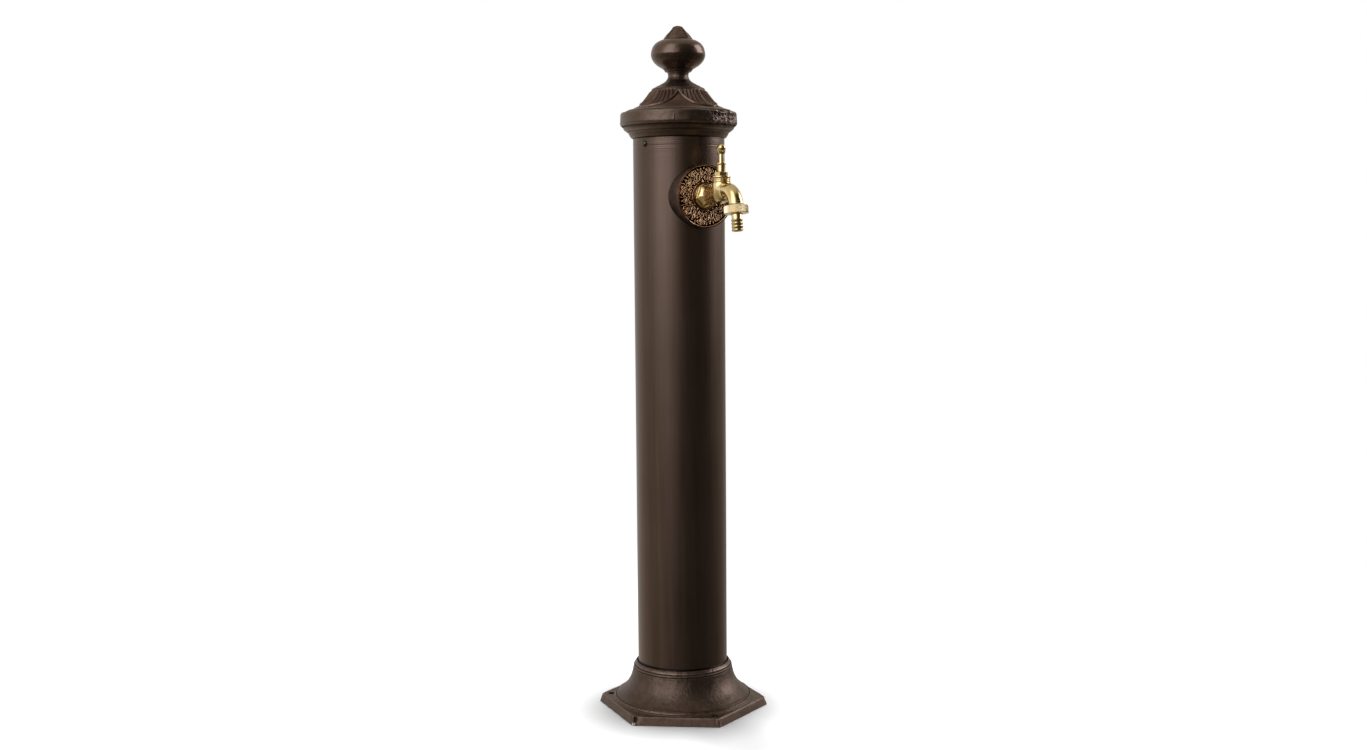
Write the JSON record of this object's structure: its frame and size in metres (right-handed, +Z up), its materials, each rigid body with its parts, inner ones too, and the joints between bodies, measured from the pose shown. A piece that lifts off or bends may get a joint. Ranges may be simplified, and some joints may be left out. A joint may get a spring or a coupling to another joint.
{
  "type": "garden water fountain",
  "caption": "Garden water column: round tube on a hexagonal cast foot, leaf-ornament cap with finial, and a side bib tap with rosette, T handle and barbed hose union.",
  "frame": {"origin": "centre of the foot's underside, on the column axis at ground level", "axes": "+Z up along the column; -Y is the front, the way the tap points; +X is to the right when the tap is seen from the front"},
  "size_m": [0.2054, 0.2769, 0.9044],
  "materials": {
    "cast_brown": "satin dark brown paint over a slightly pitted casting",
    "tube_brown": "satin dark brown paint",
    "bronze_relief": "antiqued bronze relief, dark in the hollows",
    "tap_brass": "polished brass",
    "nut_brass": "pale brass, finely knurled",
    "zinc_steel": "zinc plated",
    "dark_steel": "dark plated steel",
    "galvanised": "galvanised",
    "rubber_black": "matte",
    "fibre_red": "pressed fibre",
    "packing_white": "soft white packing"
  },
  "bodies": {
    "column": {"base_casting": "cast_brown", "column_tube": "tube_brown", "tube_foot_plate": "tube_brown", "foot_bolts": "zinc_steel", "foot_washers": "zinc_steel", "cap_casting": "cast_brown", "cap_screws": "dark_steel", "finial": "cast_brown", "finial_stud": "zinc_steel", "finial_washer": "zinc_steel", "finial_nut": "zinc_steel", "tap_boss": "cast_brown", "rosette": "bronze_relief", "tap_body": "tap_brass", "inlet_washer": "rubber_black", "inlet_backnut": "tap_brass", "pipe_elbow": "galvanised", "riser_pipe": "galvanised", "riser_locknuts": "zinc_steel", "headwork_gasket": "fibre_red", "headwork_bonnet": "tap_brass", "gland_packing": "packing_white", "gland_nut": "tap_brass"},
    "valve": {"jumper_valve": "tap_brass", "seat_washer": "rubber_black", "seat_washer_nut": "tap_brass"},
    "handle": {"spindle": "tap_brass", "t_handle": "tap_brass", "handle_pin": "zinc_steel"},
    "tail": {"hose_tail": "tap_brass", "union_washer": "rubber_black"},
    "nut": {"union_nut": "nut_brass"}
  },
  "joints": [
    {"name": "valve_lift", "type": "slide", "parent": "column", "child": "valve", "axis": [0, 0, 1], "range_m": [0, 0.0046]},
    {"name": "handle_turn", "type": "hinge", "parent": "valve", "child": "handle", "pos_m": [0, -0.1108, 0.72], "axis": [0, 0, 1], "range_deg": [0, 810]},
    {"name": "tail_release", "type": "slide", "parent": "column", "child": "tail", "axis": [0, -0.1219, -0.9925], "range_m": [0, 0.0046]},
    {"name": "nut_turn", "type": "hinge", "parent": "tail", "child": "nut", "pos_m": [0, -0.147, 0.6638], "axis": [0, -0.1219, -0.9925], "range_deg": [0, 900]}
  ],
  "couplings": [
    {"joint": "valve_lift", "follows": "handle_turn", "m_per_rad": 0.00031831},
    {"joint": "tail_release", "follows": "nut_turn", "m_per_rad": 0.00028871}
  ]
}
